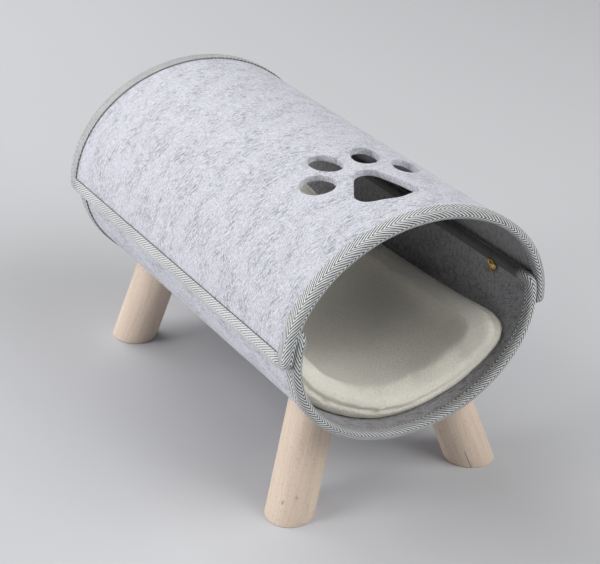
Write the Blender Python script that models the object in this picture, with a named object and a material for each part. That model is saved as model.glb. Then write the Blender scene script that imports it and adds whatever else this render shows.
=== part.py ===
"""Felt cat tunnel bed: two bound felt panels rolled into a tunnel, a fleece pad and four splayed wooden legs.

Frame: metres, +Z up. The origin is on the floor under the middle of the tunnel, the tunnel runs along Y, and
its front opening, the end with the paw, faces -Y.
"""

import bpy
import bmesh
import numpy as np
from math import cos, pi, radians, sin, sqrt
from mathutils import Matrix, Vector

# The tunnel's driving dimensions
TUNNEL_LENGTH = 0.480          # over the bindings, along Y
AXIS_HEIGHT = 0.1954           # middle of the tunnel's section above the floor, halfway along
FELT = 0.0065                  # thickness of the felt
TAPE = 0.0014                  # thickness of the binding tape
TAPE_OUTSIDE = 0.0145          # width of tape on the felt's outer face
TAPE_INSIDE = 0.0080           # and on its inner face
TAPE_FOLD = 0.0028             # radius of the tape's fold over the felt's edge
GAP = 0.0003                   # between pieces that touch
PANEL_CORNER = 0.010           # rounded corners of both panels
PITCH_DEGREES = 1.0            # the front lies this much higher
FLARE = 0.0125                 # how much wider the back end is than the middle, and the front end narrower
FRONT_LEAN = 0.040             # run forwards for each unit of height at the front opening, none at the back

# The two panels, by the felt's outer face
ROOF_HALF_WIDTH = 0.1515
ROOF_RISE = 0.1276             # above the axis
ROOF_LAP = 0.0044              # how far its long edges reach below the axis
CRADLE_HALF_WIDTH = 0.1411
CRADLE_DEPTH = 0.1176          # below the axis
CRADLE_LAP = 0.0312            # how far its long edges reach above the axis, along the felt

# The paw in the flat roof: across from the crown line, along from the tunnel's middle
TOE_COLUMNS = ("across", "along", "width", "length", "lean_degrees")
TOES = (
    (-0.0527, -0.1206, 0.0328, 0.0404, -20.5),
    (-0.0246, -0.0906, 0.0295, 0.0432, -13.0),
    (0.0223, -0.0911, 0.0305, 0.0471, 38.7),
    (0.0552, -0.1170, 0.0297, 0.0499, 43.0),
)
PALM_COLUMNS = ("across", "along", "radius")
PALM_CORNERS = (
    (-0.0035, -0.1407, 0.0172),
    (-0.0259, -0.1706, 0.0150),
    (0.0200, -0.1799, 0.0057),
    (-0.0043, -0.1654, 0.0262),
)

# The cushion, in the flat before it lies down in the cradle
CUSHION_LENGTH = 0.442
CUSHION_HALF_WIDTH = 0.172
CUSHION_CORNER = 0.044
CUSHION_MIDDLE = -0.002        # its middle from the tunnel's middle, along Y
CUSHION_RIM = 0.026            # thickness at the crowned rim
CUSHION_HOLLOW = 0.004         # how far the middle of the top lies below the rim
CUSHION_EDGE = 0.013           # depth of its rounded edge
CUSHION_SIDES_IN = 0.010       # how far each long side draws in between the corners
CUSHION_ENDS_IN = 0.004        # and each end
CUSHION_SET_BACK = 0.018       # how far the front end runs back towards its left corner
CUSHION_SET_BACK_WIDTH = 0.12  # over this much of its width
CUSHION_WAVE = 0.0012          # unevenness of its rim
CUSHION_CLEAR = 0.0006         # from the felt that it lies on

# The legs
LEG_RADIUS = 0.025
LEG_COLUMNS = ("foot_x", "foot_y", "splay_x", "splay_y")  # splay: run inwards for each unit of height
FRONT_LEGS = (0.1115, -0.1982, 0.3495, 0.2389)
BACK_LEGS = (0.0952, 0.1945, 0.1977, 0.2563)
FOOT_BEVEL = 0.0012

# The snaps
SNAP_ALONG = 0.178             # from the tunnel's middle, towards either end
SNAP_ACROSS = 0.0200           # above the axis, along the felt
SNAP_CAP_RADIUS = 0.0073
SNAP_CAP_RISE = 0.0034
SNAP_RIM = 0.0008
SNAP_CAP_CLEAR = 0.0026        # from the felt, so that the cap clears the tape's border
SNAP_POST_RADIUS = 0.0023
SNAP_HOLE_RADIUS = 0.0027

# How finely the round shapes are cut
ROOF_COLUMNS = 34
CRADLE_COLUMNS = 36
PANEL_ROWS = 7
CORNER_STEPS = 3
FOLD_STEPS = 3
TOE_SIDES = 20
PALM_SIDES = 24
LEG_SIDES = 32
SNAP_SIDES = 16
HOLE_SIDES = 12
DOME_STEPS = 4
CUSHION_COLUMNS = 16
CUSHION_ROWS = 12
CUSHION_EDGE_STEPS = 4

# Colour (linear), roughness and metallic of each finish
FINISHES = {
    "felt": ((0.62, 0.63, 0.69, 1.0), 0.95, 0.0),
    "tape": ((0.42, 0.44, 0.43, 1.0), 0.80, 0.0),
    "fleece": ((0.68, 0.67, 0.57, 1.0), 0.95, 0.0),
    "wood": ((0.76, 0.66, 0.54, 1.0), 0.55, 0.0),
    "brass": ((0.62, 0.42, 0.14, 1.0), 0.25, 1.0),
}


class Section:
    """An elliptical section, walked by length from the middle of its crown (way 1) or its floor (way -1)."""

    def __init__(self, half_width, half_height, way):
        self.half_width = half_width
        self.half_height = half_height
        self.way = way
        self.angles = np.linspace(-pi, pi, 4001)
        steps = np.hypot(half_width * np.cos(self.angles), half_height * np.sin(self.angles))
        lengths = np.concatenate(([0.0], np.cumsum((steps[1:] + steps[:-1]) / 2 * np.diff(self.angles))))
        self.lengths = lengths - lengths[-1] / 2

    def quarter(self):
        """Length along the curve from its middle to the height of the axis."""
        return float(np.interp(pi / 2, self.angles, self.lengths))

    def frame(self, across):
        """The point and the outward normal at a length across, with Y left at zero."""
        angle = float(np.interp(across, self.lengths, self.angles))
        x = self.half_width * sin(angle)
        z = self.half_height * cos(angle)
        normal = Vector((x / self.half_width ** 2, 0.0, self.way * z / self.half_height ** 2)).normalized()
        return Vector((x, 0.0, AXIS_HEIGHT + self.way * z)), normal

    def place(self, flat):
        """Where a point of the flat piece goes: X across, Y along, Z outwards from the felt's outer face."""
        point, normal = self.frame(flat.x)
        return point + normal * flat.z + Vector((0.0, flat.y, 0.0))


ROOF_CURVE = Section(ROOF_HALF_WIDTH, ROOF_RISE, 1)
CRADLE_CURVE = Section(CRADLE_HALF_WIDTH, CRADLE_DEPTH, -1)
FELT_HALF_LENGTH = TUNNEL_LENGTH / 2 - TAPE - GAP
ROOF_HALF = ROOF_CURVE.quarter() + ROOF_LAP
CRADLE_HALF = CRADLE_CURVE.quarter() + CRADLE_LAP


def material(name):
    """The Principled material of one finish."""
    made = bpy.data.materials.get(name)
    if made is None:
        made = bpy.data.materials.new(name)
        made.use_nodes = True
        colour, roughness, metallic = FINISHES[name]
        shader = made.node_tree.nodes["Principled BSDF"]
        shader.inputs["Base Color"].default_value = colour
        shader.inputs["Roughness"].default_value = roughness
        shader.inputs["Metallic"].default_value = metallic
    return made


def finish(bm, name, finish_name, sharp_degrees=35.0):
    """Turns a bmesh into a named object, with its faces outwards and shaded smooth but for its real edges."""
    bmesh.ops.remove_doubles(bm, verts=bm.verts, dist=1e-6)
    bmesh.ops.recalc_face_normals(bm, faces=bm.faces)
    mesh = bpy.data.meshes.new(name)
    bm.to_mesh(mesh)
    bm.free()
    mesh.shade_smooth()
    mesh.set_sharp_from_angle(angle=radians(sharp_degrees))
    made = bpy.data.objects.new(name, mesh)
    mesh.materials.append(material(finish_name))
    bpy.context.scene.collection.objects.link(made)
    return made


def settle(bm):
    """Gives a piece of the level, even tunnel its place in the flared, leaning and pitched one."""
    for vert in bm.verts:
        along = vert.co.y / TUNNEL_LENGTH
        swell = 1 + 2 * FLARE * along
        up = (vert.co.z - AXIS_HEIGHT) * swell
        vert.co = (vert.co.x * swell, vert.co.y - FRONT_LEAN * (0.5 - along) * up, AXIS_HEIGHT + up)
    turn = Matrix.Rotation(-radians(PITCH_DEGREES), 3, "X")
    bmesh.ops.rotate(bm, verts=bm.verts, cent=(0.0, 0.0, AXIS_HEIGHT), matrix=turn)


def roll(bm, curve):
    """Bends a flat piece round a section."""
    bmesh.ops.triangulate(bm, faces=[face for face in bm.faces if len(face.verts) > 4])
    for vert in bm.verts:
        vert.co = curve.place(vert.co)
    settle(bm)


def even_stations(half, count):
    """Score lines from one inner border of the tape to the other."""
    inner = half - TAPE_OUTSIDE
    return [-inner + 2 * inner * step / count for step in range(count + 1)]


def panel_outline(half_across, columns, rows):
    """A panel's outline, counter-clockwise: each point, the way outwards, and the sides of its corner, if any."""
    x_in = half_across - PANEL_CORNER
    y_in = FELT_HALF_LENGTH - PANEL_CORNER
    outline = []

    def corner(side_x, side_y, start):
        for step in range(CORNER_STEPS + 1):
            turn = start + pi / 2 * step / CORNER_STEPS
            way = Vector((cos(turn), sin(turn)))
            outline.append((Vector((side_x * x_in, side_y * y_in)) + way * PANEL_CORNER, way, (side_x, side_y)))

    def side(points, way):
        outline.extend((point, way, None) for point in points)

    corner(-1, -1, pi)
    side([Vector((x, -FELT_HALF_LENGTH)) for x in columns], Vector((0, -1)))
    corner(1, -1, -pi / 2)
    side([Vector((half_across, y)) for y in rows], Vector((1, 0)))
    corner(1, 1, 0.0)
    side([Vector((x, FELT_HALF_LENGTH)) for x in reversed(columns)], Vector((0, 1)))
    corner(-1, 1, pi / 2)
    side([Vector((-half_across, y)) for y in reversed(rows)], Vector((-1, 0)))
    return outline


def tape_spot(half_across, place, out):
    """The flat spot so far outwards of an outline point; the tape's inner borders meet square in the corners."""
    point, way, corner = place
    if corner and out < -PANEL_CORNER:
        return Vector((corner[0] * (half_across + out), corner[1] * (FELT_HALF_LENGTH + out)))
    return point + way * out


def score(bm, point, normal):
    """Splits the flat piece along one straight line."""
    everything = bm.verts[:] + bm.edges[:] + bm.faces[:]
    bmesh.ops.bisect_plane(bm, geom=everything, plane_co=point, plane_no=normal, dist=1e-7)


def fan_corners(bm, half_across, outline):
    """Joins each outline point of a rounded corner to the tape's inner corner, as the tape's own folds run."""
    for place in outline:
        ends = []
        for spot in (place[0], tape_spot(half_across, place, -TAPE_OUTSIDE)):
            near = min(bm.verts, key=lambda vert: (vert.co.xy - spot).length)
            ends.append(near)
        shared = [face for face in ends[0].link_faces if ends[1] in face.verts]
        joined = any(ends[1] in edge.verts for edge in ends[0].link_edges)
        if shared and not joined:
            bmesh.utils.face_split(shared[0], ends[0], ends[1])


def flat_panel(half_across, columns, rows):
    """A flat sheet of felt with rounded corners, scored where it will bend, its outer face at Z 0."""
    outline = panel_outline(half_across, columns, rows)
    bm = bmesh.new()
    bm.faces.new([bm.verts.new((point.x, point.y, 0.0)) for point, _, _ in outline])
    for x in columns:
        score(bm, (x, 0.0, 0.0), (1.0, 0.0, 0.0))
    for y in rows:
        score(bm, (0.0, y, 0.0), (0.0, 1.0, 0.0))
    fan_corners(bm, half_across, outline)
    made = bmesh.ops.extrude_face_region(bm, geom=bm.faces[:])
    moved = [item for item in made["geom"] if isinstance(item, bmesh.types.BMVert)]
    bmesh.ops.translate(bm, verts=moved, vec=(0.0, 0.0, -FELT))
    bmesh.ops.recalc_face_normals(bm, faces=bm.faces)
    return bm


def cut_flat(bm, cutters):
    """Cuts holes through a flat panel and gives it back as a bmesh."""
    panel = finish(bm, "flat_panel", "felt")
    scraps = [panel]
    for number, cutter_bm in enumerate(cutters):
        cutter = finish(cutter_bm, f"cutter_{number}", "felt")
        scraps.append(cutter)
        cut = panel.modifiers.new(f"cut_{number}", "BOOLEAN")
        cut.operation = "DIFFERENCE"
        cut.solver = "EXACT"
        cut.object = cutter
    cut_bm = bmesh.new()
    cut_bm.from_object(panel, bpy.context.evaluated_depsgraph_get())
    for scrap in scraps:
        bpy.data.objects.remove(scrap)
    return cut_bm


def upright_disc(radius, sides, across, along):
    """A bmesh cylinder through the felt, longer than it is thick."""
    bm = bmesh.new()
    place = Matrix.Translation((across, along, -FELT / 2))
    bmesh.ops.create_cone(bm, cap_ends=True, segments=sides, radius1=radius, radius2=radius, depth=3 * FELT,
                          matrix=place)
    return bm


def toe_cutter(across, along, width, length, lean_degrees):
    """An oval cutter that leans to the right of straight back by so many degrees."""
    bm = upright_disc(0.5, TOE_SIDES, 0.0, 0.0)
    bmesh.ops.scale(bm, verts=bm.verts, vec=(width, length, 1.0))
    turn = Matrix.Rotation(-radians(lean_degrees), 3, "Z")
    bmesh.ops.rotate(bm, verts=bm.verts, cent=(0.0, 0.0, 0.0), matrix=turn)
    bmesh.ops.translate(bm, verts=bm.verts, vec=(across, along, 0.0))
    return bm


def palm_cutter():
    """The main pad: the hull of a few upright discs, so its corners are round."""
    bm = bmesh.new()
    for across, along, radius in PALM_CORNERS:
        disc = bpy.data.meshes.new("disc")
        disc_bm = upright_disc(radius, PALM_SIDES, across, along)
        disc_bm.to_mesh(disc)
        disc_bm.free()
        bm.from_mesh(disc)
        bpy.data.meshes.remove(disc)
    hull = bmesh.ops.convex_hull(bm, input=bm.verts, use_existing_faces=False)
    unused = {item for item in hull["geom_interior"] + hull["geom_unused"] if isinstance(item, bmesh.types.BMVert)}
    bmesh.ops.delete(bm, geom=list(unused), context="VERTS")
    outside = {item for item in hull["geom"] if isinstance(item, bmesh.types.BMFace)}
    bmesh.ops.delete(bm, geom=[face for face in bm.faces if face not in outside], context="FACES_ONLY")
    loose = [edge for edge in bm.edges if not edge.link_faces]
    bmesh.ops.delete(bm, geom=loose, context="EDGES")
    return bm


def panel(name, half_across, curve, columns, cutters):
    """One felt panel, cut flat and rolled."""
    rows = even_stations(FELT_HALF_LENGTH, PANEL_ROWS)
    bm = cut_flat(flat_panel(half_across, columns, rows), cutters)
    roll(bm, curve)
    return finish(bm, name, "felt")


def tape_profile():
    """The folded tape's cross-section: (outwards from the felt's edge, up), as one closed loop."""
    top = GAP + TAPE
    bottom = -FELT - GAP - TAPE
    fold_out = GAP + TAPE - TAPE_FOLD
    fold = []
    for step in range(FOLD_STEPS + 1):
        turn = pi / 2 * step / FOLD_STEPS
        fold.append((fold_out + TAPE_FOLD * sin(turn), top - TAPE_FOLD + TAPE_FOLD * cos(turn)))
    under = [(out, top + bottom - up) for out, up in reversed(fold)]
    inner_face = [(-TAPE_INSIDE, bottom), (-TAPE_INSIDE, bottom + TAPE), (GAP, bottom + TAPE)]
    outer_face = [(GAP, top - TAPE), (-TAPE_OUTSIDE, top - TAPE)]
    return [(-TAPE_OUTSIDE, top)] + fold + under + inner_face + outer_face


def binding(name, half_across, curve, columns):
    """Tape folded over a panel's edge all round: its section carried along the outline and closed on itself."""
    rows = even_stations(FELT_HALF_LENGTH, PANEL_ROWS)
    bm = bmesh.new()
    profile = tape_profile()
    rings = []
    for place in panel_outline(half_across, columns, rows):
        spots = [tape_spot(half_across, place, out) for out, _ in profile]
        rings.append([bm.verts.new((spot.x, spot.y, up)) for spot, (_, up) in zip(spots, profile)])
    for first, second in zip(rings, rings[1:] + rings[:1]):
        for near, far in zip(range(len(profile)), list(range(1, len(profile))) + [0]):
            bm.faces.new((first[near], first[far], second[far], second[near]))
    bmesh.ops.remove_doubles(bm, verts=bm.verts, dist=1e-6)
    roll(bm, curve)
    return finish(bm, name, "tape", 50.0)


def cushion_steps(half, count):
    """Places across the cushion, close together where its edge is round."""
    edge = [CUSHION_EDGE * (1 - cos(pi / 2 * step / CUSHION_EDGE_STEPS)) for step in range(CUSHION_EDGE_STEPS)]
    inner = half - CUSHION_EDGE
    middle = [-inner + 2 * inner * step / count for step in range(count + 1)]
    return [-half + depth for depth in edge] + middle + [half - depth for depth in reversed(edge)]


def cushion_spot(x, y):
    """Rounds the flat cushion's corners and draws its sides in: where a grid point goes in the flat."""
    half_length = CUSHION_LENGTH / 2
    over_x = max(abs(x) - (CUSHION_HALF_WIDTH - CUSHION_CORNER), 0.0) / CUSHION_CORNER
    over_y = max(abs(y) - (half_length - CUSHION_CORNER), 0.0) / CUSHION_CORNER
    round_x = over_x * sqrt(1 - over_y ** 2 / 2)
    round_y = over_y * sqrt(1 - over_x ** 2 / 2)
    sign_x = 1 if x > 0 else -1
    sign_y = 1 if y > 0 else -1
    new_x = x - sign_x * (over_x - round_x) * CUSHION_CORNER
    new_y = y - sign_y * (over_y - round_y) * CUSHION_CORNER
    new_x *= 1 - CUSHION_SIDES_IN / CUSHION_HALF_WIDTH * cos(pi / 2 * min(abs(y) / half_length, 1.0))
    new_y *= 1 - CUSHION_ENDS_IN / half_length * cos(pi / 2 * min(abs(x) / CUSHION_HALF_WIDTH, 1.0))
    leftwards = min(max(-new_x, 0.0) / CUSHION_SET_BACK_WIDTH, 1.0)
    forwards = max(-new_y, 0.0) / half_length
    new_y += CUSHION_SET_BACK * leftwards ** 2 * (3 - 2 * leftwards) * forwards ** 2
    return new_x, new_y


def edge_depth(x, y):
    """How far a grid point lies from the cushion's outline, before its corners are rounded."""
    over_x = max(abs(x) - (CUSHION_HALF_WIDTH - CUSHION_CORNER), 0.0)
    over_y = max(abs(y) - (CUSHION_LENGTH / 2 - CUSHION_CORNER), 0.0)
    reach = max(over_x, over_y)
    return CUSHION_CORNER - reach


def cushion():
    """The filled pad: a grid doubled into a top and a bottom that meet at the seam, then laid in the cradle."""
    bm = bmesh.new()
    xs = cushion_steps(CUSHION_HALF_WIDTH, CUSHION_COLUMNS)
    ys = cushion_steps(CUSHION_LENGTH / 2, CUSHION_ROWS)
    layers = []
    for side in (1, -1):
        layer = []
        for y in ys:
            row = []
            for x in xs:
                depth = edge_depth(x, y)
                swell = sqrt(max(1 - (1 - min(depth / CUSHION_EDGE, 1.0)) ** 2, 0.0))
                height = CUSHION_RIM / 2 * swell
                if side > 0:
                    sunk = min(max(depth - CUSHION_EDGE, 0.0) / (CUSHION_CORNER - CUSHION_EDGE), 1.0)
                    wave = sin(x / 0.031 + 0.7) * sin(y / 0.043 + 0.4)
                    height += swell * (CUSHION_WAVE * wave - CUSHION_HOLLOW * sunk ** 2 * (3 - 2 * sunk))
                flat_x, flat_y = cushion_spot(x, y)
                lift = CUSHION_RIM / 2 + side * height
                outwards = -(FELT + CUSHION_CLEAR + lift)
                row.append(bm.verts.new((flat_x, flat_y + CUSHION_MIDDLE, outwards)))
            layer.append(row)
        layers.append(layer)
    for layer in layers:
        for row, next_row in zip(layer, layer[1:]):
            for i in range(len(xs) - 1):
                bm.faces.new((row[i], row[i + 1], next_row[i + 1], next_row[i]))
    bmesh.ops.remove_doubles(bm, verts=bm.verts, dist=1e-6)
    roll(bm, CRADLE_CURVE)
    return finish(bm, "cushion", "fleece", 60.0)


def underside_cutter(columns):
    """The cradle's outer shape with the gap added, as a long closed body that shapes the tops of the legs."""
    bm = bmesh.new()
    under = [CRADLE_CURVE.place(Vector((x, 0.0, GAP))) for x in columns if abs(x) < CRADLE_CURVE.quarter()]
    loop = [bm.verts.new((point.x, -TUNNEL_LENGTH, point.z)) for point in under]
    loop.append(bm.verts.new((under[-1].x, -TUNNEL_LENGTH, 2 * AXIS_HEIGHT)))
    loop.append(bm.verts.new((under[0].x, -TUNNEL_LENGTH, 2 * AXIS_HEIGHT)))
    face = bm.faces.new(loop)
    made = bmesh.ops.extrude_face_region(bm, geom=[face])
    moved = [item for item in made["geom"] if isinstance(item, bmesh.types.BMVert)]
    bmesh.ops.translate(bm, verts=moved, vec=(0.0, 2 * TUNNEL_LENGTH, 0.0))
    settle(bm)
    cutter = finish(bm, "cradle_underside", "wood")
    cutter.hide_render = True
    cutter.display_type = "WIRE"
    return cutter


def leg(name, side_x, foot_x, foot_y, splay_x, splay_y, cutter):
    """One round leg, splayed outwards, flat on the floor and shaped at its top to the cradle."""
    bm = bmesh.new()
    inwards_y = splay_y if foot_y < 0 else -splay_y
    axis = Vector((-side_x * splay_x, inwards_y, 1.0)).normalized()
    foot = Vector((side_x * foot_x, foot_y, 0.0))
    length = 2 * AXIS_HEIGHT
    turn = Vector((0, 0, 1)).rotation_difference(axis).to_matrix().to_4x4()
    bmesh.ops.create_cone(bm, cap_ends=True, segments=LEG_SIDES, radius1=LEG_RADIUS, radius2=LEG_RADIUS,
                          depth=length, matrix=Matrix.Translation(foot) @ turn)
    everything = bm.verts[:] + bm.edges[:] + bm.faces[:]
    bmesh.ops.bisect_plane(bm, geom=everything, plane_co=(0, 0, 0), plane_no=(0, 0, 1), clear_inner=True)
    rim = [edge for edge in bm.edges if edge.is_boundary]
    bmesh.ops.contextual_create(bm, geom=rim)
    rim = [edge for edge in bm.edges if all(abs(vert.co.z) < 1e-6 for vert in edge.verts)]
    bmesh.ops.bevel(bm, geom=rim, offset=FOOT_BEVEL, segments=1, profile=0.5, affect="EDGES", material=-1)
    made = finish(bm, name, "wood")
    shape = made.modifiers.new("fit_to_cradle", "BOOLEAN")
    shape.operation = "DIFFERENCE"
    shape.solver = "EXACT"
    shape.object = cutter
    return made


def snap(name, side_x, side_y):
    """A closed snap: a domed cap inside the cradle and its post, which ends inside the felt."""
    profile = [(0.0, SNAP_CAP_CLEAR + SNAP_RIM + SNAP_CAP_RISE)]
    for step in range(1, DOME_STEPS + 1):
        turn = pi / 2 * step / DOME_STEPS
        profile.append((SNAP_CAP_RADIUS * sin(turn), SNAP_CAP_CLEAR + SNAP_RIM + SNAP_CAP_RISE * cos(turn)))
    profile.append((SNAP_CAP_RADIUS, SNAP_CAP_CLEAR))
    profile.append((SNAP_POST_RADIUS, SNAP_CAP_CLEAR))
    profile.append((SNAP_POST_RADIUS, GAP - FELT))
    profile.append((0.0, GAP - FELT))
    bm = bmesh.new()
    line = [bm.verts.new((radius, 0.0, height)) for radius, height in profile]
    edges = [bm.edges.new(pair) for pair in zip(line, line[1:])]
    bmesh.ops.spin(bm, geom=line + edges, cent=(0, 0, 0), axis=(0, 0, 1), angle=2 * pi, steps=SNAP_SIDES,
                   use_merge=True)
    point, normal = CRADLE_CURVE.frame(side_x * (CRADLE_CURVE.quarter() + SNAP_ACROSS))
    place = point - normal * FELT + Vector((0.0, side_y * SNAP_ALONG, 0.0))
    turn = Vector((0, 0, 1)).rotation_difference(-normal).to_matrix().to_4x4()
    bmesh.ops.transform(bm, matrix=Matrix.Translation(place) @ turn, verts=bm.verts)
    settle(bm)
    return finish(bm, name, "brass", 40.0)


def build():
    """Makes every piece."""
    for old in list(bpy.data.objects):
        bpy.data.objects.remove(old)

    roof_columns = even_stations(ROOF_HALF, ROOF_COLUMNS)
    cradle_columns = even_stations(CRADLE_HALF, CRADLE_COLUMNS)
    paw = [toe_cutter(**dict(zip(TOE_COLUMNS, toe))) for toe in TOES] + [palm_cutter()]
    panel("roof_panel", ROOF_HALF, ROOF_CURVE, roof_columns, paw)
    binding("roof_binding", ROOF_HALF, ROOF_CURVE, roof_columns)

    snap_sides = {"front_left": (-1, -1), "front_right": (1, -1), "back_left": (-1, 1), "back_right": (1, 1)}
    snap_across = CRADLE_CURVE.quarter() + SNAP_ACROSS
    holes = [upright_disc(SNAP_HOLE_RADIUS, HOLE_SIDES, side_x * snap_across, side_y * SNAP_ALONG)
             for side_x, side_y in snap_sides.values()]
    panel("cradle_panel", CRADLE_HALF, CRADLE_CURVE, cradle_columns, holes)
    binding("cradle_binding", CRADLE_HALF, CRADLE_CURVE, cradle_columns)
    cushion()

    underside = underside_cutter(cradle_columns)
    for corner, (side_x, side_y) in snap_sides.items():
        sizes = dict(zip(LEG_COLUMNS, FRONT_LEGS if side_y < 0 else BACK_LEGS))
        leg(f"leg_{corner}", side_x, cutter=underside, **sizes)
        snap(f"snap_{corner}", side_x, side_y)


build()
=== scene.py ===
"""Felt cat tunnel bed: felt, twill tape, fleece pad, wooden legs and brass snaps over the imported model.

Each cloth piece is cut flat, X across and Y along, with Z outwards from the felt's outer face, then rolled.
"""

from math import atan2, ceil, cos, pi, radians, sin, sqrt

import bmesh
import bpy
import numpy as np
from mathutils import Matrix, Vector, noise


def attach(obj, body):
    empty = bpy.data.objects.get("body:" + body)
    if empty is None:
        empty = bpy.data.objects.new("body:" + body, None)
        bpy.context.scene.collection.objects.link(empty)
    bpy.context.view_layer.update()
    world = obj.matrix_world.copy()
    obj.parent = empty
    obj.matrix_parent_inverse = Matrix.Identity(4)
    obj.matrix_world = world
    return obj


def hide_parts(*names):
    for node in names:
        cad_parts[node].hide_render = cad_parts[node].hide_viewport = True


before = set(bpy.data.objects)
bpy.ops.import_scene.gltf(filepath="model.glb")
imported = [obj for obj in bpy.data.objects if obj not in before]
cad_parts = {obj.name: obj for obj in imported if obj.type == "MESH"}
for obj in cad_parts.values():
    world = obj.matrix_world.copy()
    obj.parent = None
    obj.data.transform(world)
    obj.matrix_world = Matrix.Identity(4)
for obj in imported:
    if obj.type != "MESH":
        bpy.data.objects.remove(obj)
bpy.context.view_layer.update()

# The tunnel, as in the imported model
TUNNEL_LENGTH = 0.480
AXIS_HEIGHT = 0.1954
FELT = 0.0065
TAPE = 0.0014
TAPE_OUTSIDE = 0.0145
TAPE_INSIDE = 0.0080
TAPE_FOLD = 0.0034
GAP = 0.0003
PANEL_CORNER = 0.010
PITCH_DEGREES = 1.0
FLARE = 0.0125
FRONT_LEAN = 0.040
ROOF_HALF_WIDTH = 0.1515
ROOF_RISE = 0.1276
ROOF_LAP = 0.0044
CRADLE_HALF_WIDTH = 0.1411
CRADLE_DEPTH = 0.1176
CRADLE_LAP = 0.0312
FELT_HALF_LENGTH = TUNNEL_LENGTH / 2 - TAPE - GAP
FELT_CELL_ACROSS = 0.0042
FELT_CELL_ALONG = 0.0080
CUT_ROUND = 0.0007             # how far the felt's cut edges are rounded
CORNER_STEPS = 10              # steps round a corner of a panel's binding
SECTION_STEPS = 8001           # points at which a section's length is measured

# The paw in the flat roof
TOE_COLUMNS = ("across", "along", "width", "length", "lean_degrees")
TOES = (
    (-0.0527, -0.1206, 0.0328, 0.0404, -20.5),
    (-0.0246, -0.0906, 0.0295, 0.0432, -13.0),
    (0.0223, -0.0911, 0.0305, 0.0471, 38.7),
    (0.0552, -0.1170, 0.0297, 0.0499, 43.0),
)
PALM_COLUMNS = ("across", "along", "radius")
PALM_CORNERS = (
    (-0.0035, -0.1407, 0.0172),
    (-0.0259, -0.1706, 0.0150),
    (0.0200, -0.1799, 0.0057),
    (-0.0043, -0.1654, 0.0262),
)
CUT_SIDES = 56

# The twill tape's weave
TWILL_BAND = 0.0105            # width of one slant of the herringbone
TWILL_PITCH = 0.0050           # from rib to rib along the tape
TWILL_RIBS = 4.00              # ribs that one slant crosses
TAPE_STEP = 0.0030
YARN_ACROSS = 0.0009
YARN_ALONG = 0.0031
PAINTED_SHADE_BORDER = (0.0011, 0.0005)       # how far in from its border the tape is darkened by painted shade
LONG_EDGE_ENDS = (0.226, 0.216)      # from the tunnel's middle to where its long edges end
INNER_FACE_START = (0.0165, 0.0185)  # how far across the tape its inner face starts

# The tape's own cross-section
TAPE_BORDER = 0.0010           # how far in from its border the tape reaches its full thickness
TAPE_BORDER_ROUND = 0.0003
TAPE_PUFF = 0.0003             # how far the tape bows up off the felt
FOLD_STEPS = 5

# The cushion in the flat
CUSHION_CELLS_ACROSS = 84
CUSHION_CELLS_ALONG = 110
CUSHION_LENGTH = 0.442
CUSHION_HALF_WIDTH = 0.175
CUSHION_CORNER = 0.036
CUSHION_MIDDLE = -0.0035
CUSHION_RIM = 0.027
CUSHION_BORDER_SHARE = 0.25    # thickness left at its very border, as a share of the rim's
CUSHION_HOLLOW = 0.007
CUSHION_HOLLOW_WIDTH = 0.060   # how far in from the edge the top reaches its full hollow
CUSHION_EDGE = 0.013
CUSHION_SIDES_IN = 0.010
CUSHION_ENDS_IN = 0.004
CUSHION_SET_BACK = 0.018       # how far the front end runs back towards its left corner
CUSHION_SET_BACK_WIDTH = 0.12
CUSHION_CLEAR = 0.0008
CUSHION_SWELL = 0.006          # most that the filling may push the cloth
SEAM_DEPTH = 0.0034
SEAM_REACH = 0.0026
SEAM_DROP = 0.0015             # how far the seam lies below the middle of the pad's thickness
SEAM_WANDER = 0.0016
SEAM_PUCKER = 0.0010
TOP_WAVE = 0.0014              # how high the soft waves of the top are
FILL_CELL = 0.005
FILL_PRESSURE = 4.0
FILL_FRAMES = 20

# The legs
LEG_RADIUS = 0.025
LEG_COLUMNS = ("side", "foot_x", "foot_y", "splay_x", "splay_y")
LEGS = {
    "leg_front_left": (-1, 0.1115, -0.1982, 0.3495, 0.2389),
    "leg_front_right": (1, 0.1115, -0.1982, 0.3495, 0.2389),
    "leg_back_left": (-1, 0.0952, 0.1945, 0.1977, -0.2563),
    "leg_back_right": (1, 0.0952, 0.1945, 0.1977, -0.2563),
}
LEG_SIDES = 72
LEG_SCORES = 6                 # rings that divide a leg's side
LEG_LENGTHS = (0.02, 0.30)     # the lengths between which a leg's top is looked for
LEG_TOP_CLEAR = 0.0004
FOOT_ROUND = 0.0012

# Marks in the wood: which leg, how far round it and up it, in metres
KNOT_COLUMNS = ("leg", "around", "up", "radius")
KNOTS = (
    (0, 0.030, 0.022, 0.0026),
    (0, 0.016, 0.014, 0.0021),
    (0, -0.010, 0.010, 0.0018),
    (1, 0.012, 0.050, 0.0020),
    (3, -0.030, 0.040, 0.0030),
)
CRACK_LEG = 1
CRACK_AROUND = 0.0310
CRACK_TOP = 0.0240

# The snaps
SNAP_ALONG = 0.178
SNAP_ACROSS = 0.0200
SNAP_RADIUS = 0.0073
SNAP_LIFT = 0.0020
SNAP_SIDES = 48
SNAP_COLUMNS = ("out", "up")   # out as a share of the radius, up in metres
SNAP_PROFILE = (
    (0.0, 0.0042),
    (0.30, 0.0040),
    (0.55, 0.0034),
    (0.72, 0.0026),
    (0.80, 0.0021),
    (0.86, 0.0020),
    (0.93, 0.0021),
    (0.985, 0.0016),
    (1.0, 0.0010),
    (0.985, 0.0004),
    (0.93, 0.0),
    (0.0, 0.0),
)

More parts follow.
